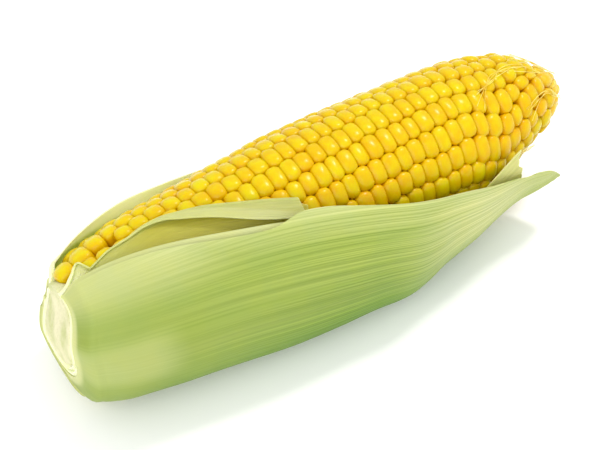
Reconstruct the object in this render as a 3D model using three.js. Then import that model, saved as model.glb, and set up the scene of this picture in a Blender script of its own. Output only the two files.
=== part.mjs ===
// An ear of sweet corn with its husk pulled open on one side, lying on a table.
//
// The ear lies along X, butt end at -X and tip at +X. Every surface is written in polar
// coordinates about the ear's axis: s is the distance from the butt along the axis, the angle is
// counted in degrees from the front (-Y) upwards, so 0 is the front, 90 the top, 180 the back and
// -90 the underside, and the radius is the distance from the axis. Millimetres, +Z up, with the
// table at Z = 0.
import * as THREE from "three";

// Driving dimensions
const EAR_LENGTH = 180; // from the cut butt to the tip of the cob
const AXIS_HEIGHT = 31; // the ear's axis above the table
const ROWS = 20; // rows of kernels round the widest part
const ROW_TWIST = 0.25; // degrees that a row turns for each millimetre along the ear
const ROW_TWIST_END = 110; // the rows run straight from here to the tip
const ROW_START_ANGLE = 6; // angle of row 1 at the butt
const ROW_GAP = 0.4; // clear space between two rows
const KERNEL_DIP = 1.2; // depth of the valley between two kernels of a row
const KERNELS_FROM = 1.5; // the first kernel of the row in the open gap of the husk
const EARLY_ROW = 6; // that row, counted from 0
const OPEN_KERNELS_FROM = 5; // the other rows on the open side start after this
const COVERED_KERNELS_FROM = 9; // and the ones behind the husk, where the shank is thick
const KERNELS_TO = 176; // the last kernel ends here
const COB_CLEARANCE = 0.7; // between the cob and the foot of the kernels
const SHANK_RADIUS = 10.3; // the cut stalk
const SHANK_OFFSET = 3.9; // the stalk leaves the ear off its axis, low on the front
const SHANK_ANGLE = -24;
const LEAF_THICKNESS = 0.7;
const LEAF_CLEARANCE = 0.9; // between the kernels and the innermost leaf
const LEAF_PITCH = 1.3; // between the inner faces of neighbouring leaves
const LEAF_FLOOR_PITCH = 1.2; // the same where they are pressed flat against the table
const OUTER_LAYER = 3; // the outermost leaf's layer, counted from 0
const LEAF_STATION_SPACING = 7; // along a leaf, on average
const LEAF_STRIPS = 10; // across a leaf
const SILK_DIAMETER = 0.5;
const SILK_CLEARANCE = 0.6; // between a strand and the crowns of the kernels

const KERNEL_YELLOW = 0xf8cf1c;
const COB_CREAM = 0xe6e0b8;
const HUSK_GREEN = 0xb4c677;
const HUSK_PALE = 0xd3da9f;
const SILK_GOLD = 0xd9c45c;

const radians = THREE.MathUtils.degToRad;
const cosDeg = (angle) => Math.cos(radians(angle));
const sinDeg = (angle) => Math.sin(radians(angle));
const mix = THREE.MathUtils.lerp;
const ramp = (s, from, to) => THREE.MathUtils.smoothstep(s, from, to);

// A smooth curve through a few [s, value] points, flat beyond both ends.
function through(...points) {
  const slope = points.map((_, i) => {
    const before = points[Math.max(i - 1, 0)];
    const after = points[Math.min(i + 1, points.length - 1)];
    return (after[1] - before[1]) / (after[0] - before[0]);
  });
  return (s) => {
    const last = points.length - 1;
    if (s <= points[0][0]) return points[0][1];
    if (s >= points[last][0]) return points[last][1];
    const i = points.findIndex((point) => s < point[0]) - 1;
    const span = points[i + 1][0] - points[i][0];
    const t = (s - points[i][0]) / span;
    const rise = t * t * (3 - 2 * t);
    const leave = t * (1 - t) * (1 - t) * span * slope[i];
    const arrive = -t * t * (1 - t) * span * slope[i + 1];
    return mix(points[i][1], points[i + 1][1], rise) + leave + arrive;
  };
}

// Profiles along the ear
const kernelRadius = through(
  [0, 11], [5, 13.2], [13, 16.1], [24, 18.5], [42, 20.4], [60, 22.4], [80, 24.1],
  [125, 24.4], [140, 22.9], [152, 19.8], [163, 16.3], [172, 12.4], [178, 8.2],
);
const cobRadius = through(
  [5, 7.6], [9, 8.2], [20, 9.2], [40, 11.4], [90, 13], [130, 12.6], [150, 10.2],
  [165, 7.6], [176, 4.6],
);
const tipBend = through([120, 0], [135, 0.6], [152, 2.6], [167, 3.7], [180, 3.4]);
const TIP_BEND_ANGLE = 138; // the tip bends up and back
const leafRadius = through(
  [4.5, 12.8], [13, 16.1], [24, 18.5], [42, 20.4], [60, 22.4], [80, 24.1], [125, 24.4],
  [140, 22.8], [152, 21.5], [170, 20],
);
// How far the loose husk stands off the kernels at its fullest, low on the front
const belly = through(
  [0, 0], [1, 5.5], [3, 10], [8, 11.2], [16, 10.6], [30, 10.3], [45, 10.6], [60, 10.7],
  [75, 10], [88, 9.8], [100, 10.3], [107, 8.9], [115, 6.5], [124, 4.8], [134, 3.3], [144, 2.2],
  [150, 2.1], [157, 2.8], [165, 3],
);
const BELLY_ANGLE = -42;
const BELLY_REACH = 144; // the husk fits closely this far round from its fullest line
const HUSK_FOLLOWS_TIP = 0.35; // share of the tip's bend that the husk takes part in
const HUSK_SWELLS_BY = 4.5; // the husk has swollen from the stalk to the kernels here
const COB_FORMED_BY = 8; // and the stalk has become the cob here

// Radius of a circle whose centre is off the axis, low on the front
function offsetCircle(radius, angle) {
  const turn = angle - SHANK_ANGLE;
  const across = SHANK_OFFSET * sinDeg(turn);
  return SHANK_OFFSET * cosDeg(turn) + Math.sqrt(radius ** 2 - across ** 2);
}

function bellyShare(angle) {
  const turn = THREE.MathUtils.euclideanModulo(angle - BELLY_ANGLE + 180, 360) - 180;
  return Math.abs(turn) < BELLY_REACH ? 0.5 + 0.5 * cosDeg((180 * turn) / BELLY_REACH) : 0;
}

// A point of the ear. The cut through the stalk is stepped: its lower front part stands proud.
// The cut's shape fades out over the first stretch of the ear.
const STALK_LENGTH = 0.3;
const CUT_STEP = 3.7; // how far the lower front part stands proud
const CUT_STEP_ANGLE = -60; // its middle
const CUT_STEP_FROM = -5.3; // the step rises between these two distances from the axis
const CUT_STEP_TO = 7.5;
const CUT_REACH = 22;
function place(s, angle, radius) {
  const towardsStep = radius * cosDeg(angle - CUT_STEP_ANGLE);
  const step = CUT_STEP * ramp(towardsStep, CUT_STEP_FROM, CUT_STEP_TO);
  const drawn = (STALK_LENGTH + step) * (1 - ramp(s, 0, CUT_REACH));
  return new THREE.Vector3(
    s - drawn,
    -radius * cosDeg(angle),
    AXIS_HEIGHT + radius * sinDeg(angle),
  );
}

// The same about the bent tip of the cob
function placeOnCob(s, angle, radius) {
  const point = place(s, angle, radius);
  point.y -= tipBend(s) * cosDeg(TIP_BEND_ANGLE);
  point.z += tipBend(s) * sinDeg(TIP_BEND_ANGLE);
  return point;
}

function indexed(points, triangles) {
  const geometry = new THREE.BufferGeometry();
  geometry.setAttribute(
    "position",
    new THREE.Float32BufferAttribute(points.flatMap((p) => p.toArray()), 3),
  );
  geometry.setIndex(triangles);
  geometry.computeVertexNormals();
  return geometry;
}

// A closed solid from rings of equal length, each counter-clockwise seen from +X
function loft(rings) {
  const n = rings[0].length;
  const triangles = [];
  for (let i = 0; i + 1 < rings.length; i++) {
    for (let j = 0; j < n; j++) {
      const a = i * n + j;
      const b = i * n + ((j + 1) % n);
      triangles.push(a, b, a + n, b, b + n, a + n);
    }
  }
  const points = rings.flat();
  const ends = [[rings[0], 0, true], [rings.at(-1), points.length - n, false]];
  for (const [ring, first, flip] of ends) {
    const centre = ring.reduce((sum, p) => sum.add(p), new THREE.Vector3()).divideScalar(n);
    points.push(centre);
    for (let j = 0; j < n; j++) {
      const a = first + j;
      const b = first + ((j + 1) % n);
      triangles.push(points.length - 1, ...(flip ? [b, a] : [a, b]));
    }
  }
  return indexed(points, triangles);
}

const ear = new THREE.Group();

function add(name, geometry, color, roughness) {
  const material = new THREE.MeshStandardMaterial({ color, roughness, metalness: 0 });
  const mesh = new THREE.Mesh(geometry, material);
  mesh.name = name;
  ear.add(mesh);
}

// The cob, one grown piece with the stump of the stalk
function cobSurface(s, angle) {
  return mix(offsetCircle(SHANK_RADIUS, angle), cobRadius(s), ramp(s, 0, COB_FORMED_BY));
}

const TIP_BLUNTNESS = 0.6; // the cob's end face to its last full section
function cobGeometry() {
  const sides = 24;
  const stations = [0, 2, 4, 6, 8, 14, 25, 40, 60, 90, 120, 135, 150, 165, 172, 177, EAR_LENGTH];
  return loft(
    stations.map((s) =>
      Array.from({ length: sides }, (_, j) => {
        const angle = (-360 * j) / sides;
        const blunt = s === EAR_LENGTH ? TIP_BLUNTNESS : 1;
        return placeOnCob(s, angle, blunt * cobSurface(s, angle));
      }),
    ),
  );
}

// Rows of kernels. Where the ear is thin, rows start late or die out early and their
// neighbours widen into the space: each row has a share of the girth that changes along the ear.
const LATE_FROM = 8; // every second row opens between these two
const LATE_TO = 30;
const LATE_KERNELS_FROM = 18; // and its first kernel is here
const CLOSES_BEFORE = 18; // a row that dies out narrows from this far before its end
const CLOSES_AFTER = 6;
const DYING = new Map([
  [18, 146], [17, 142], [16, 138], // three rows under the front of the ear
  [2, 168], [6, 163], [9, 165], [12, 160], [15, 170], // and five round the tip
]);

function girthShare(row, s) {
  const opening = row % 2 ? ramp(s, LATE_FROM, LATE_TO) : 1;
  const end = DYING.get(row);
  const closing = end ? 1 - ramp(s, end - CLOSES_BEFORE, end + CLOSES_AFTER) : 1;
  return opening * closing;
}

// Both side angles of a row at a distance along the ear
const REFERENCE_ROW = 17; // the rows drift towards the rows that die out beside this one
function rowSides(row, s) {
  const shares = Array.from({ length: ROWS }, (_, k) => girthShare(k, s));
  const total = shares.reduce((sum, share) => sum + share, 0);
  const before = (k) => shares.slice(0, k).reduce((sum, share) => sum + share, 0);
  const middle = before(REFERENCE_ROW) + shares[REFERENCE_ROW] / 2;
  const turn = ROW_START_ANGLE + ROW_TWIST * Math.min(s, ROW_TWIST_END);
  const reference = turn + (360 * REFERENCE_ROW) / ROWS;
  const angleAt = (sum) => reference + (360 * (sum - middle)) / total;
  return [angleAt(before(row)), angleAt(before(row) + shares[row])];
}

const kernelPitch = through([10, 5.5], [40, 5.2], [65, 4.8], [110, 4.8], [140, 5.3]);

// Valleys of the even rows; the odd rows have theirs half a kernel further on
const valleys = [KERNELS_FROM];
while (valleys.at(-1) + kernelPitch(valleys.at(-1)) < KERNELS_TO) {
  valleys.push(valleys.at(-1) + kernelPitch(valleys.at(-1)));
}

const COVERED_FROM_ANGLE = 150; // at the butt, the husk covers the kernels from here to the front
function rowStart(row) {
  if (row === EARLY_ROW) return KERNELS_FROM;
  if (row % 2) return LATE_KERNELS_FROM;
  return rowSides(row, 0)[0] % 360 > COVERED_FROM_ANGLE ? COVERED_KERNELS_FROM : OPEN_KERNELS_FROM;
}

function rowGeometry(row) {
  const from = rowStart(row);
  const to = DYING.get(row) ?? KERNELS_TO;
  const offset = row % 2 ? 0.5 : 0;
  const rings = [];
  const ringAt = (s, dip) => {
    const [low, high] = rowSides(row, s);
    const foot = cobSurface(s, (low + high) / 2) + COB_CLEARANCE;
    const crown = kernelRadius(s) - dip;
    const inset = (radius) => THREE.MathUtils.radToDeg(ROW_GAP / 2 / radius);
    return [
      placeOnCob(s, low + inset(foot), foot),
      placeOnCob(s, low + inset(crown), crown),
      placeOnCob(s, high - inset(crown), crown),
      placeOnCob(s, high - inset(foot), foot),
    ].reverse();
  };
  for (let i = 0; i + 2 < valleys.length; i++) {
    const valley = mix(valleys[i], valleys[i + 1], offset);
    const crest = mix(valleys[i], valleys[i + 1], offset + 0.5);
    if (valley < from || valley > to) continue;
    rings.push(ringAt(valley, KERNEL_DIP), ringAt(crest, 0));
  }
  return loft(rings);
}

// Husk leaves. Each is a thin shell between two edge angles that change along the ear. Its layer
// says how many leaves lie beneath it, its fullness how far it follows the belly of the husk, its
// flare how far its first edge stands off, and its end may be torn.
const LEAVES = {
  husk_inner_back: {
    layer: 0, fullness: 0.1, end: 118, tear: 0, color: HUSK_PALE,
    from: through([0, 136], [8, 140], [20, 147], [52, 158], [80, 168], [118, 185]),
    to: through([0, 246], [90, 246], [118, 225]),
    flare: through([8, 0], [18, 1], [26, 1.8], [34, 2.2], [45, 1.5], [60, 0]),
  },
  husk_inner_front: {
    layer: 0, fullness: 0.22, end: 71, tear: 2.5, color: HUSK_PALE,
    from: through([0, -108], [8, -104], [30, -66], [71, -50]),
    to: through(
      [0, 70], [10, 77], [16, 82], [27, 85], [33, 84], [42, 77], [54, 66], [62, 59], [71, 51],
    ),
  },
  husk_inner_under: {
    layer: 1, fullness: 0.5, end: 146, tear: 1, color: HUSK_PALE,
    from: through([0, -165], [120, -158], [146, -140]),
    to: through([0, -20], [95, -20], [115, -8], [125, 3], [131, 9], [138, 14], [146, 20]),
  },
  husk_middle_front: {
    layer: 1.2, fullness: 0.75, end: 96, tear: 2, color: HUSK_GREEN,
    from: through([0, -12], [96, -12]),
    to: through([0, 71], [6, 72], [16, 69], [29, 63], [48, 52], [61, 45], [96, 25]),
  },
  husk_outer_back: {
    layer: 2, fullness: 1, end: 142, tear: 0, color: HUSK_GREEN,
    from: through([0, 192], [14, 186], [32, 174], [70, 176], [110, 182], [142, 214]),
    to: through([0, 255], [90, 255], [120, 242], [142, 219]),
  },
  husk_outer_front: {
    layer: 2, fullness: 1, end: 165, tear: 0, color: HUSK_GREEN,
    from: through([0, -92], [95, -92], [125, -84], [145, -72], [157, -57], [165, -33]),
    to: through(
      [0, 66], [6, 67], [16, 64], [28, 59], [47, 48], [58, 44], [67, 46], [75, 43], [84, 37],
      [95, 30], [109, 23], [124, 16], [142, 4], [148, -2], [153, -4], [159, -10], [165, -25],
    ),
  },
  husk_outer_under: {
    layer: 3.5, fullness: 1, end: 104, tear: 0, color: HUSK_GREEN,
    from: through([0, -150], [60, -140], [88, -116], [104, -78]),
    to: through([0, -68], [60, -64], [90, -62], [104, -68]),
  },
};

function huskBase(s, angle) {
  const bend = HUSK_FOLLOWS_TIP * tipBend(s) * cosDeg(angle - TIP_BEND_ANGLE);
  const ring = offsetCircle(SHANK_RADIUS + COB_CLEARANCE - LEAF_CLEARANCE, angle);
  return mix(ring, leafRadius(s) + bend, ramp(s, 0, HUSK_SWELLS_BY));
}

// Radius of a leaf's inner or outer face, pressed flat where it would pass through the table
function leafFace(leaf, s, angle, depth) {
  const free =
    huskBase(s, angle) + LEAF_CLEARANCE + LEAF_PITCH * leaf.layer +
    leaf.fullness * belly(s) * bellyShare(angle) + depth;
  const below = Math.max(0, OUTER_LAYER - leaf.layer);
  const height = below * LEAF_FLOOR_PITCH + LEAF_THICKNESS - depth;
  const down = -sinDeg(angle);
  return down > 0 ? Math.min(free, (AXIS_HEIGHT - height) / down) : free;
}

const FLARE_WIDTH = 0.3; // share of the leaf's width that stands off
const TEAR_STEP = 2.4; // phase from one strip of a torn end to the next
const TEAR_FADE = 4; // the higher, the shorter the torn stretch
const CROWDING = 1.2; // stations lie closer together near the butt
function leafGeometry(leaf) {
  const along = Math.max(9, Math.round(leaf.end / LEAF_STATION_SPACING));
  const faces = [0, LEAF_THICKNESS].map((depth) =>
    Array.from({ length: along + 1 }, (_, i) =>
      Array.from({ length: LEAF_STRIPS + 1 }, (_, j) => {
        const jag = leaf.tear * Math.sin(j * TEAR_STEP) * (i / along) ** TEAR_FADE;
        const s = leaf.end * (i / along) ** CROWDING + jag;
        const across = j / LEAF_STRIPS;
        const angle = mix(leaf.from(s), leaf.to(s), across);
        const flare = leaf.flare ? leaf.flare(s) * (1 - ramp(across, 0, FLARE_WIDTH)) : 0;
        return place(s, angle, leafFace(leaf, s, angle, depth) + flare);
      }),
    ),
  );
  // Each station gives one ring: along the outer face and back along the inner one
  const rings = faces[0].map((inner, i) => [...faces[1][i].toReversed(), ...inner]);
  return shell(rings, LEAF_STRIPS + 1);
}

// A closed shell whose rings run out along one face and back along the other
function shell(rings, half) {
  const n = 2 * half;
  const triangles = [];
  for (let i = 0; i + 1 < rings.length; i++) {
    for (let j = 0; j < n; j++) {
      const a = i * n + j;
      const b = i * n + ((j + 1) % n);
      triangles.push(a, b, a + n, b, b + n, a + n);
    }
  }
  for (const [first, flip] of [[0, true], [(rings.length - 1) * n, false]]) {
    for (let j = 0; j + 1 < half; j++) {
      const quad = [first + j, first + j + 1, first + n - 2 - j, first + n - 1 - j];
      if (flip) quad.reverse();
      triangles.push(quad[0], quad[1], quad[2], quad[0], quad[2], quad[3]);
    }
  }
  return indexed(rings.flat(), triangles);
}

// Strands of dry silk that stay on the kernels, as [s, angle] points
const SILK = [
  [[139, 64], [147, 70], [155, 76], [163, 77], [170, 70]],
  [[163, 96], [168, 92], [173, 84], [177, 70]],
  [[158, 28], [165, 36], [171, 30], [176, 12]],
  [[150, -2], [156, -8], [160, -18]],
];

function silkGeometry(points) {
  const lift = SILK_DIAMETER / 2 + SILK_CLEARANCE;
  const path = new THREE.CatmullRomCurve3(
    points.map(([s, angle]) => placeOnCob(s, angle, kernelRadius(s) + lift)),
  );
  const section = new THREE.Shape().absarc(0, 0, SILK_DIAMETER / 2, 0, 2 * Math.PI);
  return new THREE.ExtrudeGeometry(section, {
    steps: 4 * points.length,
    curveSegments: 3,
    extrudePath: path,
  });
}

add("cob_core", cobGeometry(), COB_CREAM, 0.8);
for (let row = 0; row < ROWS; row++) {
  const name = "kernel_row_" + String(row + 1).padStart(2, "0");
  add(name, rowGeometry(row), KERNEL_YELLOW, 0.3);
}
for (const [name, leaf] of Object.entries(LEAVES)) {
  add(name, leafGeometry(leaf), leaf.color, 0.6);
}
SILK.forEach((points, i) => add(`silk_strand_${i + 1}`, silkGeometry(points), SILK_GOLD, 0.7));

// The origin is the middle of the box's underside
const box = new THREE.Box3().setFromObject(ear);
const centre = box.getCenter(new THREE.Vector3());
for (const mesh of ear.children) {
  mesh.position.set(-centre.x, -centre.y, -box.min.z);
}

export default ear;
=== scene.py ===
import math
import random

import bpy
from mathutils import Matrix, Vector


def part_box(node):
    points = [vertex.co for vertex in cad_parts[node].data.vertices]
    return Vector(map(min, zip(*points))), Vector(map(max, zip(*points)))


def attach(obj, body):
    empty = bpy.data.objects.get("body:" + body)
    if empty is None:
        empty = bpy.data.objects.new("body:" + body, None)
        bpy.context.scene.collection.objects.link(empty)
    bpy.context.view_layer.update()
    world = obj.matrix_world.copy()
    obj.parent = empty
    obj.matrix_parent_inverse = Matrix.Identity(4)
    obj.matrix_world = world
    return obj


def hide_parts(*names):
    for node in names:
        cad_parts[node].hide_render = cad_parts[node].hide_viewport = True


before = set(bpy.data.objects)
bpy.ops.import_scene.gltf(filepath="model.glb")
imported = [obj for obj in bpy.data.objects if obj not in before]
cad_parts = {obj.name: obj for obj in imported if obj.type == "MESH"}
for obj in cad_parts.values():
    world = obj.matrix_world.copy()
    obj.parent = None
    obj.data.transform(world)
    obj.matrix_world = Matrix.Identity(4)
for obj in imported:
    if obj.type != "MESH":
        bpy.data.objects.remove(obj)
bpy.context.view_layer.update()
bpy.context.scene.view_settings.view_transform = "Standard"

# ---------------------------------------------------------------------------------------------
# The table top and the light. A pale matt surface, one soft window light from the upper right,
# a wide fill from the left front, and a white room.
# ---------------------------------------------------------------------------------------------


def clear_selection():
    if bpy.context.object and bpy.context.object.mode != "OBJECT":
        bpy.ops.object.mode_set(mode="OBJECT")
    bpy.ops.object.select_all(action="DESELECT")


def plain_material(name, color, roughness):
    """A Principled material with one base colour; returns the material, its nodes and links."""
    material = bpy.data.materials.new(name)
    material.use_nodes = True
    tree = material.node_tree
    shader = tree.nodes["Principled BSDF"]
    shader.inputs["Base Color"].default_value = (*color, 1)
    shader.inputs["Roughness"].default_value = roughness
    return material, tree.nodes, tree.links, shader


clear_selection()
bpy.ops.mesh.primitive_plane_add(size=6, location=(0, 0, 0))
table_top = bpy.context.object
table_top.name = "table_top"
table_finish, *_ = plain_material("pale matt table", (0.96, 0.96, 0.96), 0.9)
table_top.data.materials.append(table_finish)


def soft_light(name, place, size, power, color):
    """A square lamp that shines at the middle of the ear."""
    lamp = bpy.data.lights.new(name, "AREA")
    lamp.size = size
    lamp.energy = power
    lamp.color = color
    holder = bpy.data.objects.new(name, lamp)
    holder.location = place
    to_ear = Vector((0, 0, 0.03)) - holder.location
    holder.rotation_euler = to_ear.to_track_quat("-Z", "Y").to_euler()
    bpy.context.scene.collection.objects.link(holder)


soft_light("window", (0.40, 0.08, 0.86), 0.18, 4.0, (1, 0.99, 0.97))
soft_light("fill", (-0.60, -0.55, 0.55), 1.0, 6.0, (0.97, 0.985, 1))

room = bpy.data.worlds.new("white room")
room.use_nodes = True
room.node_tree.nodes["Background"].inputs["Color"].default_value = (1, 1, 1, 1)
room.node_tree.nodes["Background"].inputs["Strength"].default_value = 0.92
bpy.context.scene.world = room

# ---------------------------------------------------------------------------------------------
# The camera looks down on the ear at 45 degrees, from the front and a little from the butt.
# It aims at a point a little in front of the ear's axis, half way along.
# ---------------------------------------------------------------------------------------------
CAMERA_AZIMUTH = math.radians(-32.72)
CAMERA_ELEVATION = math.radians(45.04)
CAMERA_DISTANCE = 0.427
AIM_FROM_TIP = 0.10325
AIM_FROM_COB_BACK = 0.01884
AIM_HEIGHT = 0.0296

cob_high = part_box("cob_core")[1]
camera = bpy.data.objects.new("camera", bpy.data.cameras.new("camera"))
camera.data.lens = 85
camera.data.sensor_width = 36
towards_camera = Vector((
    math.sin(CAMERA_AZIMUTH) * math.cos(CAMERA_ELEVATION),
    -math.cos(CAMERA_AZIMUTH) * math.cos(CAMERA_ELEVATION),
    math.sin(CAMERA_ELEVATION),
))
camera_aim = Vector((cob_high.x - AIM_FROM_TIP, cob_high.y - AIM_FROM_COB_BACK, AIM_HEIGHT))
camera.location = camera_aim + towards_camera * CAMERA_DISTANCE
camera.rotation_euler = towards_camera.to_track_quat("Z", "Y").to_euler()
bpy.context.scene.collection.objects.link(camera)
bpy.context.scene.camera = camera

# ---------------------------------------------------------------------------------------------
# The cob: the pale woody core that carries the kernels, grown in one piece with the stump of
# the stalk, which was sawn through. Only its cut face and its blunt tip show.
# ---------------------------------------------------------------------------------------------
# Along the ear, s runs in millimetres from 0 at the saw cut to 180 at the tip; the angle is 0 at
# the front, 90 at the top and 180 at the back; the radius is the distance from the ear's axis.
MM = 0.001
EAR_LENGTH = 180
COB_WIDEST = 13
SHANK_RADIUS = 10.3
SHANK_OFFSET = 3.9
SHANK_ANGLE = -24
STALK_LENGTH = 0.3
CUT_STEP = 3.7
CUT_STEP_ANGLE = -60
CUT_STEP_FROM = -5.3
CUT_STEP_TO = 7.5
CUT_REACH = 22
TIP_BEND_ANGLE = 138
COB_SIDES = 64
COB_STATIONS = [
    0, 0.5, 1.5, 3, 4.5, 6, 8, 12, 20, 35, 60, 90, 120, 140, 155, 165, 172, 175, 177, 178.4, 179.4, 179.9,
]
BLUNT_END_FROM = 174
BLUNT_END_LENGTH = 6.0415
CUT_RINGS = [0.14, 0.16, 0.2, 0.2, 0.18]

ear_butt_x = cob_high.x - EAR_LENGTH * MM
ear_axis_y = cob_high.y - COB_WIDEST * MM
ear_axis_z = cob_high.z - COB_WIDEST * MM


def cos_deg(angle):
    return math.cos(math.radians(angle))


def sin_deg(angle):
    return math.sin(math.radians(angle))


def mix(a, b, share):
    return a + (b - a) * share


def ramp(value, start, stop):
    t = min(max((value - start) / (stop - start), 0), 1)
    return t * t * (3 - 2 * t)


def through(*points):
    """A smooth curve through a few (s, value) points, flat beyond both ends."""
    slopes = []
    for i in range(len(points)):
        before, after = points[max(i - 1, 0)], points[min(i + 1, len(points) - 1)]
        slopes.append((after[1] - before[1]) / (after[0] - before[0]))

    def value(s):
        if s <= points[0][0]:
            return points[0][1]
        if s >= points[-1][0]:
            return points[-1][1]
        i = next(k for k in range(len(points)) if s < points[k][0]) - 1
        span = points[i + 1][0] - points[i][0]
        t = (s - points[i][0]) / span
        leave = t * (1 - t) * (1 - t) * span * slopes[i]
        arrive = -t * t * (1 - t) * span * slopes[i + 1]
        return mix(points[i][1], points[i + 1][1], t * t * (3 - 2 * t)) + leave + arrive

    return value


tip_bend = through((120, 0), (135, 0.6), (152, 2.6), (167, 3.7), (180, 3.4))
cob_radius = through(
    (5, 7.6), (9, 8.2), (20, 9.2), (40, 11.4), (90, 13), (130, 12.6), (150, 10.2), (165, 7.6), (176, 4.6)
)


def offset_circle(radius, angle):
    """Distance from the ear's axis to a circle round the stalk, which leaves low on the front."""
    turn = angle - SHANK_ANGLE
    return SHANK_OFFSET * cos_deg(turn) + math.sqrt(radius**2 - (SHANK_OFFSET * sin_deg(turn)) ** 2)


def ear_point(s, angle, radius):
    """A point in metres from its place along, round and out from the ear's axis.

    The cut through the stalk is stepped: its lower front part stands proud.
    """
    step = CUT_STEP * ramp(radius * cos_deg(angle - CUT_STEP_ANGLE), CUT_STEP_FROM, CUT_STEP_TO)
    drawn = (STALK_LENGTH + step) * (1 - ramp(s, 0, CUT_REACH))
    return Vector((
        ear_butt_x + (s - drawn) * MM,
        ear_axis_y - radius * cos_deg(angle) * MM,
        ear_axis_z + radius * sin_deg(angle) * MM,
    ))


def cob_point(s, angle, radius):
    """The same about the bent tip of the cob."""
    point = ear_point(s, angle, radius)
    point.y -= tip_bend(s) * cos_deg(TIP_BEND_ANGLE) * MM
    point.z += tip_bend(s) * sin_deg(TIP_BEND_ANGLE) * MM
    return point


def cob_surface(s, angle):
    return mix(offset_circle(SHANK_RADIUS, angle), cob_radius(s), ramp(s, 0, 8))


def notch_lip(s, angle):
    """The stalk's tissue swells where the husk is open, and behind the cut all round."""
    opening = 2.6 * (1 - ramp(s, 1.5, 7)) * ramp(angle, 71, 84) * (1 - ramp(angle, 122, 135))
    return max(opening, 1.8 * ramp(s, 0, 1.5) * (1 - ramp(s, 3, 8)))


def turn_faces_out():
    """Makes the faces of the active closed piece point outwards."""
    bpy.ops.object.mode_set(mode="EDIT")
    bpy.ops.mesh.select_all(action="SELECT")
    bpy.ops.mesh.normals_make_consistent(inside=False)
    bpy.ops.object.mode_set(mode="OBJECT")


# A round bar, 1 mm in radius, is drawn out station by station; its butt face is inset in rings
clear_selection()
bpy.ops.mesh.primitive_circle_add(vertices=COB_SIDES, radius=1, fill_type="NGON", location=(0, 0, 0))
cob = bpy.context.object
cob.name = "cob_and_stalk"
bpy.ops.object.mode_set(mode="EDIT")
bpy.ops.mesh.select_mode(type="FACE")
bpy.ops.mesh.select_all(action="SELECT")
for near, far in zip(COB_STATIONS, COB_STATIONS[1:]):
    bpy.ops.mesh.extrude_region_move(TRANSFORM_OT_translate={"value": (0, 0, far - near)})
bpy.ops.mesh.poke()
bpy.ops.mesh.select_all(action="DESELECT")
bpy.ops.object.mode_set(mode="OBJECT")
for face in cob.data.polygons:
    face.select = face.center.z < 0.01
bpy.ops.object.mode_set(mode="EDIT")
for ring_width in CUT_RINGS:
    bpy.ops.mesh.inset(thickness=ring_width)
bpy.ops.mesh.poke()
bpy.ops.object.mode_set(mode="OBJECT")
for vertex in cob.data.vertices:
    s, share = vertex.co.z, math.hypot(vertex.co.x, vertex.co.y)
    angle = math.degrees(math.atan2(vertex.co.y, vertex.co.x))
    blunt_end = math.sqrt(max(1 - (max(s - BLUNT_END_FROM, 0) / BLUNT_END_LENGTH) ** 2, 0.02))
    radius = share * blunt_end * (cob_surface(s, angle) + notch_lip(s, angle))
    vertex.co = cob_point(s, angle, radius)
turn_faces_out()
bpy.ops.object.shade_smooth_by_angle(angle=math.radians(50))


def color_ramp(nodes, links, factor, *stops):
    """A colour ramp from (position, colour) stops, driven by a socket."""
    node = nodes.new("ShaderNodeValToRGB")
    elements = node.color_ramp.elements
    while len(elements) < len(stops):
        elements.new(0.5)
    for element, (position, color) in zip(elements, stops):
        element.position = position
        element.color = (*color, 1)
    links.new(factor, node.inputs["Fac"])
    return node.outputs["Color"]


def color_mix(nodes, links, a, b, factor, blend="MIX"):
    """Mixes two colours; each argument is a socket or a plain value."""
    node = nodes.new("ShaderNodeMix")
    node.data_type = "RGBA"
    node.blend_type = blend
    for socket, value in (("A", a), ("B", b), ("Factor", factor)):
        if isinstance(value, tuple):
            node.inputs[socket].default_value = (*value, 1)
        elif isinstance(value, (float, int)):
            node.inputs[socket].default_value = value
        else:
            links.new(value, node.inputs[socket])
    return node.outputs["Result"]


def noise(nodes, links, vector, scale, detail=2):
    node = nodes.new("ShaderNodeTexNoise")
    node.inputs["Scale"].default_value = scale
    node.inputs["Detail"].default_value = detail
    links.new(vector, node.inputs["Vector"])
    return node.outputs["Fac"]


def bump_from(nodes, links, shader, height, strength, distance):
    node = nodes.new("ShaderNodeBump")
    node.inputs["Strength"].default_value = strength
    node.inputs["Distance"].default_value = distance
    links.new(height, node.inputs["Height"])
    links.new(node.outputs["Normal"], shader.inputs["Normal"])


# Cut pith: pale, blotched greenish yellow, with the dark ends of its fibres
cob_finish, nodes, links, shader = plain_material("cut pith", (0.80, 0.74, 0.52), 0.75)
where = nodes.new("ShaderNodeTexCoord").outputs["Object"]
fibres = nodes.new("ShaderNodeTexVoronoi")
fibres.inputs["Scale"].default_value = 900
links.new(where, fibres.inputs["Vector"])
pith = color_ramp(
    nodes, links, noise(nodes, links, where, 160, 4), (0.34, (0.50, 0.52, 0.23)), (0.62, (0.70, 0.66, 0.42))
)
fibre_ends = color_ramp(
    nodes, links, fibres.outputs["Distance"], (0.08, (0.74, 0.68, 0.52)), (0.20, (1, 1, 1))
)
links.new(color_mix(nodes, links, pith, fibre_ends, 0.8, "MULTIPLY"), shader.inputs["Base Color"])
bump_from(nodes, links, shader, fibres.outputs["Distance"], 0.5, 0.0004)
cob.data.materials.append(cob_finish)
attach(cob, "root")
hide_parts("cob_core")

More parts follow.
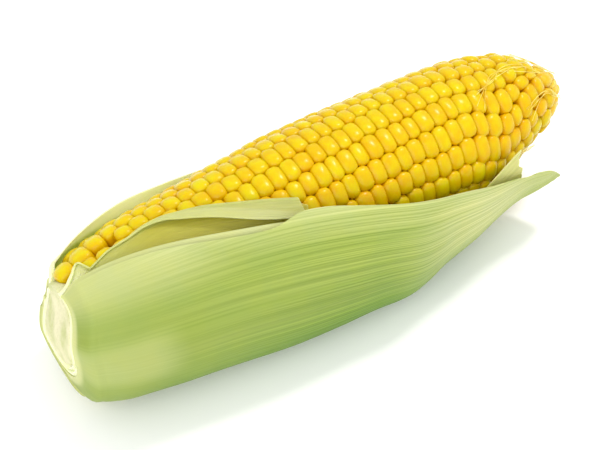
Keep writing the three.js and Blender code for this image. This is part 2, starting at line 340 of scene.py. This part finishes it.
# ---------------------------------------------------------------------------------------------
# The kernels: plump moist grains packed side by side in lengthwise rows. One kernel is modelled
# and copied along each row; where the ear is thin, rows start late or die out and their
# neighbours widen. Every row stays one piece, like the grains that share a foot on the cob.
# ---------------------------------------------------------------------------------------------
ROWS = 20
ROW_TWIST = 0.25
ROW_TWIST_END = 110
ROW_START_ANGLE = 6
REFERENCE_ROW = 17
EARLY_ROW = 6
KERNELS_FROM = 1.5
OPEN_KERNELS_FROM = 5
COVERED_KERNELS_FROM = 9
COVERED_FROM_ANGLE = 150
LATE_KERNELS_FROM = 18
KERNELS_TO = 176
ROWS_DYING = {18: 146, 17: 142, 16: 138, 2: 168, 6: 163, 9: 165, 12: 160, 15: 170}
TIP_SLOPE_ANGLE = 115
TIP_SLOPE = 2.4
KERNEL_SIDES = 14
kernel_pitch = through((10, 5.5), (40, 5.2), (65, 4.8), (110, 4.8), (140, 5.3))
kernel_radius = through(
    (0, 11), (5, 13.2), (13, 16.1), (24, 18.5), (42, 20.4), (60, 22.4), (80, 24.1),
    (125, 24.4), (140, 22.9), (152, 19.8), (163, 16.3), (172, 12.4), (178, 8.2),
)


def crown_radius(s, angle):
    """Distance of the kernels' crowns from the axis; the tip slopes off at the top and back."""
    slope = max(cos_deg(angle - TIP_SLOPE_ANGLE), 0)
    return kernel_radius(s) - TIP_SLOPE * ramp(s, 163, 177) * slope


def girth_share(row, s):
    opening = ramp(s, 8, 30) if row % 2 else 1
    end = ROWS_DYING.get(row)
    closing = 1 - ramp(s, end - 18, end + 6) if end else 1
    return opening * closing


def side_wander(side, s):
    """Rows aren't ruled lines: their shared sides swing a little, and more near the tip."""
    side = side % ROWS
    swing = 0.9 + 2.2 * ramp(s, 128, 165)
    return swing * (math.sin(0.13 * s + 2.4 * side * side) + 0.7 * math.sin(0.31 * s + 4.7 * side))


def row_sides(row, s):
    """Both side angles of a row at a distance along the ear."""
    shares = [girth_share(k, s) for k in range(ROWS)]
    middle = sum(shares[:REFERENCE_ROW]) + shares[REFERENCE_ROW] / 2
    turn = ROW_START_ANGLE + ROW_TWIST * min(s, ROW_TWIST_END)
    reference = turn + 360 * REFERENCE_ROW / ROWS
    low = sum(shares[:row])
    return [
        reference + 360 * (at - middle) / sum(shares) + side_wander(side, s)
        for at, side in ((low, row), (low + shares[row], row + 1))
    ]


def row_start(row):
    if row == EARLY_ROW:
        return KERNELS_FROM
    if row % 2:
        return LATE_KERNELS_FROM
    covered = row_sides(row, 0)[0] % 360 > COVERED_FROM_ANGLE
    return COVERED_KERNELS_FROM if covered else OPEN_KERNELS_FROM


# One kernel, 1 wide and 1 long: each ring's depth under the crown in mm and its width. It is
# widest below the crown, where it presses into its neighbours.
KERNEL_FOOT = (12, 0.92)
KERNEL_RINGS = [(2.2, 1.13), (1.25, 1.08), (0.56, 0.91), (0.11, 0.52)]
clear_selection()
bpy.ops.mesh.primitive_circle_add(
    vertices=KERNEL_SIDES, radius=0.5 * KERNEL_FOOT[1], fill_type="NGON", location=(0, 0, 0)
)
kernel = bpy.context.object
kernel.name = "kernel_model"
bpy.ops.object.mode_set(mode="EDIT")
bpy.ops.mesh.select_all(action="SELECT")
bpy.ops.transform.translate(value=(0, 0, -KERNEL_FOOT[0]))
depth, width = KERNEL_FOOT
for ring_depth, ring_width in KERNEL_RINGS:
    bpy.ops.mesh.extrude_region_move(TRANSFORM_OT_translate={"value": (0, 0, depth - ring_depth)})
    grow = ring_width / width
    bpy.ops.transform.resize(value=(grow, grow, 1))
    depth, width = ring_depth, ring_width
bpy.ops.mesh.poke(offset=depth)
turn_faces_out()
# crown: 1 on a kernel's crown, 0 from 4 mm below it; it drives the painted crevice shade
crown = kernel.data.attributes.new("crown", "FLOAT", "POINT")
crown.data.foreach_set("value", [max(1 + v.co.z / 4, 0) for v in kernel.data.vertices])
kernel.data.attributes.new("tint", "FLOAT", "POINT")
kernel.data.attributes.new("dryness", "FLOAT", "POINT")

kernel_finish, nodes, links, shader = plain_material("moist kernel skin", (0.95, 0.66, 0.03), 0.25)
shader.inputs["Subsurface Weight"].default_value = 0.35
shader.inputs["Subsurface Radius"].default_value = (0.85, 0.62, 0.12)
shader.inputs["Subsurface Scale"].default_value = 0.0018
shader.inputs["Specular IOR Level"].default_value = 0.15
shader.inputs["Coat Weight"].default_value = 0.04
shader.inputs["Coat Roughness"].default_value = 0.12


def point_value(nodes, name):
    node = nodes.new("ShaderNodeAttribute")
    node.attribute_name = name
    return node.outputs["Fac"]


where = nodes.new("ShaderNodeTexCoord").outputs["Object"]
# Painted shade: kernels are painted a deeper orange down their sides, into the crevices where they meet;
# their crowns keep the plain kernel yellow.
color_and_crevice_shade = color_ramp(
    nodes, links, point_value(nodes, "crown"),
    (0, (0.66, 0.31, 0.001)), (0.5, (0.65, 0.345, 0.001)),
    (0.8, (0.64, 0.395, 0.001)), (1, (0.64, 0.445, 0.001)),
)
# Tint: random variety of colour mixed with painted light, which makes the upper kernels paler and yellower
variety_and_painted_light = color_ramp(
    nodes, links, point_value(nodes, "tint"),
    (0, (1.04, 0.97, 0.9)), (0.5, (0.99, 1.03, 1)), (1, (0.99, 1.15, 1.2)),
)
mottle = noise(nodes, links, where, 300, 2)
mottling = color_ramp(nodes, links, mottle, (0.35, (1, 0.84, 0.5)), (0.65, (1, 1.08, 1.2)))
dry_skin = color_ramp(
    nodes, links, noise(nodes, links, where, 700, 3), (0.4, (0.80, 0.46, 0.06)), (0.6, (0.93, 0.72, 0.20))
)
body = color_mix(nodes, links, color_and_crevice_shade, variety_and_painted_light, 1.0, "MULTIPLY")
body = color_mix(nodes, links, body, mottling, 0.7, "MULTIPLY")
body = color_mix(nodes, links, body, dry_skin, point_value(nodes, "dryness"))
links.new(body, shader.inputs["Base Color"])
bump_from(nodes, links, shader, mottle, 0.12, 0.0004)

chance = random.Random(31)


def grow_kernel(low, high, near, far, out, lean, deep, dry=0.0, rough=1.0):
    """Copies the kernel into a cell of the ear: between two side angles and two distances."""
    middle, length = (near + far) / 2, far - near
    center = (low + high) / 2
    girth = math.radians(high - low) * out
    roundness = mix(3.6, 2.5, ramp(middle, 130, 158))
    crown_scale = min(length, girth) / 4.9
    swell = rough * chance.uniform(-0.22, 0.18) - 0.5 * dry * chance.random()
    turn = math.radians(chance.uniform(-6, 6)) * rough
    tilt = rough * chance.uniform(-0.07, 0.07)
    inset = min(length / girth, 1.0)
    grain = bpy.data.objects.new("grain", kernel.data.copy())
    for vertex in grain.data.vertices:
        point = vertex.co
        reach = 2 * math.hypot(point.x, point.y)
        around = math.atan2(point.y, point.x)
        corner = (abs(math.cos(around)) ** roundness + abs(math.sin(around)) ** roundness) ** (-1 / roundness)
        across = max(1 - (1 - reach) * mix(1, inset, 0.55), 0) if reach > 0 else 0
        x = 0.5 * length * reach * corner * math.cos(around + turn)
        y = 0.5 * girth * across * corner * math.sin(around + turn)
        drop = swell + tilt * x - min(-point.z * crown_scale, deep)
        along = middle + x * math.cos(lean) - drop * math.sin(lean)
        radius = max(out + drop * math.cos(lean) + x * math.sin(lean), 1)
        angle = center + math.degrees(y / (mix(out, radius, 0.8) if drop < -3 else out))
        vertex.co = cob_point(along, angle, radius)
    count = len(grain.data.vertices)
    # Painted light: kernels high on the ear, turned to the window light, get a higher tint and are painted
    # paler and yellower, those low down more orange; kernels near the butt are made yellower too. The rest of
    # the tint differs at random.
    lighter = 0.5 * ramp(center, 0, 115) + 0.35 * (1 - ramp(middle, 15, 55))
    tint = min(0.5 * chance.random() + lighter, 1)
    grain.data.attributes["tint"].data.foreach_set("value", [tint] * count)
    grain.data.attributes["dryness"].data.foreach_set("value", [dry] * count)
    bpy.context.scene.collection.objects.link(grain)
    return grain


kernel_valleys = [KERNELS_FROM]
while kernel_valleys[-1] < KERNELS_TO:
    kernel_valleys.append(kernel_valleys[-1] + kernel_pitch(kernel_valleys[-1]))

# Small shrivelled grains close the blunt tip: how many in a ring, how far along and out
TIP_RINGS = [(15, 176.4, 9.4), (12, 178.8, 7.0), (8, 180.4, 4.4), (4, 181.2, 1.8)]
tip_grains = [[] for _ in range(ROWS)]
for count, s, ring_radius in TIP_RINGS:
    for k in range(count):
        angle = 360 * (k + chance.uniform(-0.25, 0.25)) / count + 11 * count
        slope = max(cos_deg(angle - TIP_SLOPE_ANGLE), 0)
        out = ring_radius * (1 - 0.17 * slope)
        half = math.degrees(0.5 * chance.uniform(3.0, 4.4) / out)
        reach = chance.uniform(1.7, 2.4)
        lean = -math.radians(90 - 7.5 * out + chance.uniform(-8, 8))
        at = s - 1.2 * slope + chance.uniform(-0.8, 0.6)
        tip_grains[int(angle // 18) % ROWS].append(grow_kernel(
            angle - half, angle + half, at - reach, at + reach, out, lean, 5, chance.uniform(0.2, 0.8), 2.5
        ))

for row in range(ROWS):
    row_from, row_to = row_start(row), ROWS_DYING.get(row, KERNELS_TO)
    valleys = [
        valley + (kernel_pitch(valley) / 2 if row % 2 else 0) + chance.uniform(-0.35, 0.35)
        for valley in kernel_valleys
    ]
    grains = tip_grains[(row + 1) % ROWS]
    for near, far in zip(valleys, valleys[1:]):
        middle = (near + far) / 2
        if near < row_from - 0.5 or middle > row_to:
            continue
        low, high = row_sides(row, middle)
        center = (low + high) / 2
        out = crown_radius(middle, center)
        lean = math.atan((crown_radius(middle + 1, center) - crown_radius(middle - 1, center)) / 2)
        foot = cob_surface(middle, center) + 0.2
        rough = 1 + ramp(middle, 135, 165)
        dry = 0.4 * ramp(middle, 168, 176) * chance.random()
        stretch = 0.5 * (far - near) * (1 / math.cos(lean) - 1)
        grains.append(grow_kernel(
            low, high, near - stretch, far + stretch, out, lean, out - foot, dry, rough
        ))
    clear_selection()
    for grain in grains:
        grain.select_set(True)
    bpy.context.view_layer.objects.active = grains[0]
    bpy.ops.object.join()
    kernel_row = bpy.context.object
    kernel_row.name = f"kernels_row_{row + 1:02d}"
    turn_faces_out()
    bpy.ops.object.shade_smooth()
    kernel_row.data.materials.append(kernel_finish)
    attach(kernel_row, "root")
    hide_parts(f"kernel_row_{row + 1:02d}")
bpy.data.objects.remove(kernel)

# ---------------------------------------------------------------------------------------------
# The husk: seven leaves that start as concentric rings at the saw cut, swell over the kernels
# and are peeled open along the top. Each is a thin sheet with lengthwise veins, thick and fleshy
# at its base.
# ---------------------------------------------------------------------------------------------
LEAF_CLEARANCE = 0.9
LEAF_PITCH = 1.3
LEAF_FLOOR_PITCH = 1.2
LEAF_DEPTH = 0.7
LEAF_WALL = 0.38
OUTER_LAYER = 3
BELLY_ANGLE = -42
BELLY_REACH = 144
LEAF_GRID_ALONG = 170
LEAF_GRID_ACROSS = 96
CUFF_COLUMNS = 24
leaf_radius = through(
    (4.5, 12.8), (13, 16.1), (24, 18.5), (42, 20.4), (60, 22.4), (80, 24.1), (125, 24.4),
    (140, 22.8), (152, 21.5), (170, 20),
)
belly = through(
    (0, 0), (1, 5.5), (3, 10), (8, 11.2), (16, 10.6), (30, 10.3), (45, 10.6), (60, 10.7), (75, 10),
    (88, 9.8), (100, 10.3), (107, 8.9), (115, 6.5), (124, 4.8), (134, 3.3), (144, 2.2), (150, 2.1),
    (157, 2.8), (165, 3),
)


def belly_share(angle):
    turn = (angle - BELLY_ANGLE + 180) % 360 - 180
    return 0.5 + 0.5 * cos_deg(180 * turn / BELLY_REACH) if abs(turn) < BELLY_REACH else 0


def leaf_face(layer, fullness, s, angle, lift):
    """Radius of a leaf's outer face plus a lift, pressed flat where it would pass the table."""
    body = leaf_radius(s) + 0.35 * tip_bend(s) * cos_deg(angle - TIP_BEND_ANGLE)
    ring = offset_circle(SHANK_RADIUS - 0.2, angle)
    free = mix(ring, body, ramp(s, 0, 4.5)) + LEAF_CLEARANCE + LEAF_PITCH * layer + LEAF_DEPTH + lift
    free += fullness * belly(s) * belly_share(angle)
    down = -sin_deg(angle)
    if down < 0.05:
        return free
    height = max(0, OUTER_LAYER - layer) * LEAF_FLOOR_PITCH
    return min(free, (ear_axis_z / MM - height) / down)


def leaf_sheet(name, layer, fullness, low_edge, high_edge, end, tear=0.0, wave=0.3, cuff=None,
               flare=None, vein_edge=None, shades=None, seed=0):
    """A husk leaf as a closed thin shell, from a flat grid laid over the ear.

    The edges are angles along the ear, and the veins run with the low edge and vein_edge, which
    is the high edge unless it was torn across them. The shades are values from 0 to 1 over the
    sheet, for the leaf's finish: how pale, how deep a green, how far the kernels shine through.
    Some carry painted light and shade: deep is partly painted shade on an underside, through
    partly painted shade in a hollow, and pale partly painted light on leaves that lie in shade.
    """
    vein_edge = vein_edge or high_edge
    clear_selection()
    columns = LEAF_GRID_ACROSS + (CUFF_COLUMNS if cuff else 0)
    bpy.ops.mesh.primitive_grid_add(x_subdivisions=LEAF_GRID_ALONG, y_subdivisions=columns, size=2)
    leaf = bpy.context.object
    leaf.name = name
    tone = random.Random(seed)
    phase = [tone.uniform(0, 6.28) for _ in range(6)]
    places, veins, colors = [], [], {"pale": [], "deep": [], "through": []}
    for vertex in leaf.data.vertices:
        u = (vertex.co.x + 1) / 2
        across = (vertex.co.y + 1) / 2 * columns / LEAF_GRID_ACROSS
        v = min(across, 1)
        jag = (
            math.sin(v * 23 + phase[0])
            + 0.6 * math.sin(v * 61 + phase[1])
            + 0.4 * math.sin(v * 131 + phase[2])
        )
        crowding = 0.4 if tear else 0.7
        s = end * mix(u, u * u, crowding) + tear * jag * u**8
        angle = mix(low_edge(s), high_edge(s), v)
        vein = (angle - low_edge(s)) / (vein_edge(s) - low_edge(s))
        lift = wave * ramp(s, 3, 24) * (
            math.sin(vein * 11 + phase[3] + 0.014 * s)
            + 0.5 * math.sin(vein * 23 + phase[4] - 0.02 * s)
            + 0.25 * math.sin(vein * 57 + phase[5] + 0.01 * s)
        )
        lift += flare(s, v) if flare else 0
        radius = leaf_face(layer, fullness, s, angle, lift)
        folded = (across - 1) * LEAF_GRID_ACROSS / CUFF_COLUMNS
        if folded > 0:
            side, out = cuff(s, folded)
            angle += math.degrees(side / radius)
            radius += out
        vertex.co = ear_point(s, angle, radius)
        places.append(s)
        veins.append((s / EAR_LENGTH, vein + across - v))
        for key, values in colors.items():
            shade = shades.get(key)
            values.append(min(max(shade(s, across, angle), 0), 1) if shade else 0)
    leaf_uv = leaf.data.uv_layers.active.data
    for loop in leaf.data.loops:
        leaf_uv[loop.index].uv = veins[loop.vertex_index]
    for key, values in colors.items():
        shade = leaf.data.attributes.new(key, "FLOAT", "POINT")
        shade.data.foreach_set("value", values)
    wall_weight = leaf.vertex_groups.new(name="wall")
    for vertex, s in zip(leaf.data.vertices, places):
        wall_weight.add([vertex.index], mix(1.0, LEAF_WALL / LEAF_PITCH, ramp(s, 1, 9)), "REPLACE")
    middle_face = leaf.data.polygons[len(leaf.data.polygons) // 2]
    from_axis = middle_face.center - Vector((middle_face.center.x, ear_axis_y, ear_axis_z))
    if middle_face.normal.dot(from_axis) < 0:
        leaf.data.flip_normals()
    wall = leaf.modifiers.new("wall", "SOLIDIFY")
    wall.thickness = LEAF_PITCH * MM
    wall.offset = -1
    wall.vertex_group = "wall"
    bpy.ops.object.modifier_apply(modifier="wall")
    leaf.vertex_groups.clear()
    bpy.ops.object.shade_smooth_by_angle(angle=math.radians(60))
    return leaf


# Lengthwise veins over broader ribs and bands, in the leaf's own along and across coordinates
leaf_veins = bpy.data.node_groups.new("leaf veins", "ShaderNodeTree")
leaf_veins.interface.new_socket("Vector", in_out="INPUT", socket_type="NodeSocketVector")
for socket in ("Veins", "Ribs", "Bands", "Blotches", "Height"):
    leaf_veins.interface.new_socket(socket, in_out="OUTPUT", socket_type="NodeSocketFloat")
group_in = leaf_veins.nodes.new("NodeGroupInput")
group_out = leaf_veins.nodes.new("NodeGroupOutput")


def streaks(along, across, detail):
    """Noise drawn out along the leaf, spread over 0 to 1."""
    nodes, links = leaf_veins.nodes, leaf_veins.links
    stretch = nodes.new("ShaderNodeMapping")
    stretch.inputs["Scale"].default_value = (along, across, 1)
    links.new(group_in.outputs["Vector"], stretch.inputs["Vector"])
    spread = nodes.new("ShaderNodeMapRange")
    spread.inputs["From Min"].default_value = 0.40
    spread.inputs["From Max"].default_value = 0.60
    links.new(noise(nodes, links, stretch.outputs["Vector"], 1, detail), spread.inputs["Value"])
    return spread.outputs["Result"]


# The veins stand out more and more away from the butt
split = leaf_veins.nodes.new("ShaderNodeSeparateXYZ")
leaf_veins.links.new(group_in.outputs["Vector"], split.inputs["Vector"])
relief = leaf_veins.nodes.new("ShaderNodeMapRange")
relief.inputs["From Min"].default_value = 0.08
relief.inputs["From Max"].default_value = 0.45
relief.inputs["To Min"].default_value = 0.12
leaf_veins.links.new(split.outputs["X"], relief.inputs["Value"])


def relieved(pattern):
    fade = leaf_veins.nodes.new("ShaderNodeMath")
    fade.operation = "MULTIPLY"
    leaf_veins.links.new(pattern, fade.inputs[0])
    leaf_veins.links.new(relief.outputs["Result"], fade.inputs[1])
    return fade.outputs[0]


fine_veins = relieved(streaks(1.8, 150, 2))
ribs = relieved(streaks(0.9, 76, 2))
vein_height = leaf_veins.nodes.new("ShaderNodeMath")
vein_height.operation = "MULTIPLY_ADD"
vein_height.inputs[1].default_value = 0.4
leaf_veins.links.new(fine_veins, vein_height.inputs[0])
leaf_veins.links.new(ribs, vein_height.inputs[2])
leaf_veins.links.new(fine_veins, group_out.inputs["Veins"])
leaf_veins.links.new(ribs, group_out.inputs["Ribs"])
leaf_veins.links.new(streaks(0.7, 11, 2), group_out.inputs["Bands"])
leaf_veins.links.new(streaks(22, 7, 3), group_out.inputs["Blotches"])
leaf_veins.links.new(vein_height.outputs[0], group_out.inputs["Height"])


def leaf_finish(name, green, light, rib, vein, pale, deep, through_and_shade_color, glow):
    """green varies to light in bands, ribs are darker and veins lighter; shades pick the others."""
    material, nodes, links, shader = plain_material(name, green, 0.5)
    shader.inputs["Subsurface Weight"].default_value = glow
    shader.inputs["Subsurface Radius"].default_value = (0.9, 1.0, 0.6)
    shader.inputs["Subsurface Scale"].default_value = 0.0025
    shader.inputs["Specular IOR Level"].default_value = 0.28
    pattern = nodes.new("ShaderNodeGroup")
    pattern.node_tree = leaf_veins
    links.new(nodes.new("ShaderNodeUVMap").outputs["UV"], pattern.inputs["Vector"])

    def share(output, most):
        node = nodes.new("ShaderNodeMath")
        node.operation = "MULTIPLY"
        node.inputs[1].default_value = most
        node.use_clamp = True
        links.new(pattern.outputs[output], node.inputs[0])
        return node.outputs[0]

    body = color_mix(nodes, links, green, light, share("Bands", 0.22))
    # deep: the leaf's own deeper green, mixed with painted shade on its underside
    body = color_mix(nodes, links, body, deep, point_value(nodes, "deep"))
    body = color_mix(nodes, links, body, pale, point_value(nodes, "pale"))
    # through: kernel yellow showing through the leaf, darkened to olive as painted shade of the hollow under
    # the cuff
    body = color_mix(nodes, links, body, through_and_shade_color, point_value(nodes, "through"))
    body = color_mix(nodes, links, body, rib, share("Ribs", 0.48), "MULTIPLY")
    body = color_mix(nodes, links, body, vein, share("Veins", 1.0), "MULTIPLY")
    body = color_mix(nodes, links, body, (1.05, 1.02, 0.9), share("Blotches", 0.7), "MULTIPLY")
    links.new(body, shader.inputs["Base Color"])
    bump_from(nodes, links, shader, pattern.outputs["Height"], 0.3, 0.0003)
    return material


green_leaf = leaf_finish(
    "green husk leaf", (0.215, 0.290, 0.044), (0.305, 0.350, 0.085), (0.64, 0.74, 0.46),
    (1.42, 1.34, 1.60), (0.51, 0.53, 0.225), (0.095, 0.200, 0.004), (0.40, 0.40, 0.08), 0.12,
)
pale_leaf = leaf_finish(
    "pale husk leaf", (0.38, 0.40, 0.095), (0.46, 0.48, 0.16), (0.84, 0.90, 0.76),
    (1.10, 1.08, 1.10), (0.75, 0.80, 0.46), (0.40, 0.47, 0.15), (0.40, 0.37, 0.036), 0.9,
)


def fit_leaf(leaf, node, finish):
    leaf.data.materials.append(finish)
    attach(leaf, "root")
    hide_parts(node)


# The inner leaf at the back stands off the kernels and shows as a pale strip above them. Its
# edge is painted pale, partly its own pale margin and partly painted light on a strip in shade.
standing_off = through((8, 0), (18, 1), (26, 1.8), (34, 2.2), (45, 1.5), (60, 0))
back_inner = leaf_sheet(
    "leaf_back_inner", 0, 0.1,
    through((0, 136), (8, 140), (20, 147), (52, 158), (80, 168), (118, 185)),
    through((0, 246), (90, 246), (118, 225)),
    118, wave=0.1, seed=1,
    flare=lambda s, v: standing_off(s) * max(1 - v / 0.22, 0) ** 2,
    shades={"pale": lambda s, across, angle: max(1 - ramp(s, 1, 12), 1 - ramp(across, 0.08, 0.2))},
)
fit_leaf(back_inner, "husk_inner_back", pale_leaf)

# The inner leaf in front: its rim is folded outwards into a pale cuff that widens towards its
# torn end, and a small flap of it is torn near the butt
cuff_width = through((0, 0.2), (22, 0.3), (30, 0.9), (38, 2.6), (48, 4.2), (60, 5.4), (71, 4.8))
cuff_bleach = through((40, 0), (48, 0.18), (60, 0.5), (71, 0.75))


def folded_rim(s, share):
    """How far the rim goes back over the leaf, and how far it stands out."""
    bend = mix(0.14, 0.7, ramp(s, 16, 42))
    if share < 0.35:
        turn = math.pi * share / 0.35
        return bend * math.sin(turn), bend * (1 - math.cos(turn))
    rest = (share - 0.35) / 0.65
    return -cuff_width(s) * rest, 2 * bend + 0.9 * ramp(s, 20, 45) * rest**1.5


def cuff_paleness(s, across, angle):
    folded = (across - 1) * LEAF_GRID_ACROSS / CUFF_COLUMNS
    rest = (folded - 0.35) / 0.65
    bleached = mix(0.35, 1, ramp(rest, cuff_bleach(s) - 0.1, cuff_bleach(s) + 0.06))
    return max(0.22 * ramp(across, 0.97, 1.02) * bleached, 1 - ramp(s, 1, 12))


front_inner = leaf_sheet(
    "leaf_front_inner", 0, 0.22,
    through((0, -108), (8, -104), (30, -66), (71, -50)),
    through(
        (0, 70), (2.5, 72), (5, 81), (7.6, 90), (9.4, 77), (10.5, 77), (16, 82), (22.5, 83), (27, 85),
        (33, 84), (37, 81), (42.5, 77), (46, 74), (54, 66), (62, 59), (71, 51),
    ),
    71, tear=1.0, wave=0.15, cuff=folded_rim, seed=2,
    shades={
        "pale": cuff_paleness,
        # The hollow below the cuff: kernel yellow showing through the leaf, darkened as painted shade
        "through": lambda s, across, angle: 0.9 * ramp(s, 12, 30) * ramp(across, 0.5, 0.75)
        * (1 - ramp(across, 0.97, 1.0)),
    },
)
fit_leaf(front_inner, "husk_inner_front", pale_leaf)

# The leaf under the ear, whose torn pale end shows below the tip of the cob. The end is painted
# paler, partly its own colour and partly painted light on a flap that lies in shade.
under_inner = leaf_sheet(
    "leaf_under_inner", 1, 0.5,
    through((0, -165), (120, -158), (146, -140)),
    through((0, -20), (95, -20), (115, -8), (125, 3), (131, 9), (138, 14), (146, 20)),
    146, tear=0.8, wave=0.1, seed=3,
    shades={"pale": lambda s, across, angle: max(1 - ramp(s, 1, 12), 0.25 * ramp(s, 126, 138))},
)
fit_leaf(under_inner, "husk_inner_under", pale_leaf)

# The middle leaf, whose edge shows between the inner and the outer one
front_middle = leaf_sheet(
    "leaf_front_middle", 1.2, 0.75,
    through((0, -12), (96, -12)),
    through((0, 71), (6, 72), (16, 69), (29, 63), (48, 52), (61, 45), (96, 25)),
    96, tear=1.0, wave=0.1, seed=4,
    shades={"pale": lambda s, across, angle: max(0.8 * ramp(across, 0.86, 0.97), 1 - ramp(s, 1, 12))},
)
fit_leaf(front_middle, "husk_middle_front", green_leaf)

# The outer leaf at the back
back_outer = leaf_sheet(
    "leaf_back_outer", 2, 1,
    through((0, 192), (14, 186), (32, 174), (70, 176), (110, 182), (142, 214)),
    through((0, 255), (90, 255), (120, 242), (142, 219)),
    142, wave=0.2, seed=5,
    shades={"pale": lambda s, across, angle: 1 - ramp(s, 5, 18)},
)
fit_leaf(back_outer, "husk_outer_back", green_leaf)


# The large outer leaf in front, drawn out to a point beyond the cob. It is paler along its upper
# margin and round its base, and greener underneath: partly its own colour and partly painted
# shade where it turns away from the light.
upper_veins = through((0, 72), (60, 60), (110, 34), (145, 12), (165, -8))


def outer_paleness(s, across, angle):
    return max(
        1 - ramp(s, 0.15, 0.7),
        0.68 * ramp(angle, 20, 62) * (1 - ramp(s, 26, 60)),
        0.36 * ramp(-angle, -22, -8) * (1 - ramp(-angle, 6, 22)) * (1 - ramp(s, 14, 26)),
        ramp(-angle, 50, 80) * (1 - ramp(s, 4, 16)),
        0.75 * ramp(angle, upper_veins(s) - 34, upper_veins(s)) * (1 - 0.4 * ramp(s, 135, 155)),
        0.7 * ramp(s, 84, 130) * ramp(angle, -42, -12) * (1 - 0.4 * ramp(s, 135, 155)),
    )


# Deeper green low on the leaf: partly its own colour, partly painted shade on the side turned from the light
def underside_green_and_shade(s, across, angle):
    lower_side = 0.4 * ramp(-angle, -22, 20) * ramp(s, 20, 75) + 0.6 * ramp(-angle, 6, 34) * ramp(s, 0, 25)
    return lower_side * (1 - ramp(s, 118, 145))


front_outer = leaf_sheet(
    "leaf_front_outer", 2, 1,
    through((0, -92), (95, -92), (125, -84), (145, -72), (157, -57), (165, -33)),
    through(
        (0, 66), (6, 67), (16, 64), (28, 59), (47, 48), (58, 44), (67, 46), (75, 43), (84, 37),
        (95, 30), (109, 23), (124, 16), (142, 4), (148, -2), (153, -4), (159, -10), (165, -25),
    ),
    165, wave=0.2, seed=6, vein_edge=upper_veins,
    shades={"pale": outer_paleness, "deep": underside_green_and_shade},
)
fit_leaf(front_outer, "husk_outer_front", green_leaf)

# The lowest leaf, pressed flat against the table
under_outer = leaf_sheet(
    "leaf_under_outer", 3.5, 1,
    through((0, -150), (60, -140), (88, -116), (104, -78)),
    through((0, -68), (60, -64), (90, -62), (104, -68)),
    104, wave=0.1, seed=7,
    shades={"pale": lambda s, across, angle: 0.8 - ramp(s, 2, 45), "deep": lambda s, across, angle: 0.5},
)
fit_leaf(under_outer, "husk_outer_under", green_leaf)

# ---------------------------------------------------------------------------------------------
# Dry silk: tufts of a few fine golden hairs that stay caught on the kernels near the tip. Each
# hair is a thin round strand along a smooth curve.
# ---------------------------------------------------------------------------------------------
SILK_TUFTS = [
    [(139, 64), (147, 70), (155, 76), (163, 77), (170, 70)],
    [(163, 96), (168, 92), (173, 84), (177, 70)],
    [(158, 28), (165, 36), (171, 30), (176, 12)],
    [(150, -2), (156, -8), (160, -18)],
]
HAIRS = 4
HAIR_RADIUS = 0.09

silk_finish, nodes, links, shader = plain_material("dry silk", (0.86, 0.68, 0.12), 0.5)
where = nodes.new("ShaderNodeTexCoord").outputs["Object"]
dry_gold = color_ramp(
    nodes, links, noise(nodes, links, where, 300), (0.4, (0.76, 0.54, 0.04)), (0.6, (0.88, 0.78, 0.20))
)
links.new(dry_gold, shader.inputs["Base Color"])
stray = random.Random(5)
for number, stops in enumerate(SILK_TUFTS, 1):
    curve = bpy.data.curves.new(f"silk_{number}", "CURVE")
    curve.dimensions = "3D"
    curve.bevel_depth = HAIR_RADIUS * MM
    curve.bevel_resolution = 1
    for _ in range(HAIRS):
        hair = curve.splines.new("NURBS")
        hair.points.add(len(stops) - 1)
        for point, (s, angle) in zip(hair.points, stops):
            at = s + stray.uniform(-2, 2)
            around = angle + stray.uniform(-9, 9)
            point.co = (*cob_point(at, around, crown_radius(at, around) + stray.uniform(0.3, 1.0)), 1)
            point.radius = 1
        hair.use_endpoint_u = True
        hair.order_u = 3
    holder = bpy.data.objects.new(f"silk_{number}", curve)
    bpy.context.scene.collection.objects.link(holder)
    clear_selection()
    holder.select_set(True)
    bpy.context.view_layer.objects.active = holder
    bpy.ops.object.convert(target="MESH")
    silk = bpy.context.object
    silk.data.materials.append(silk_finish)
    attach(silk, "root")
    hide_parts(f"silk_strand_{number}")
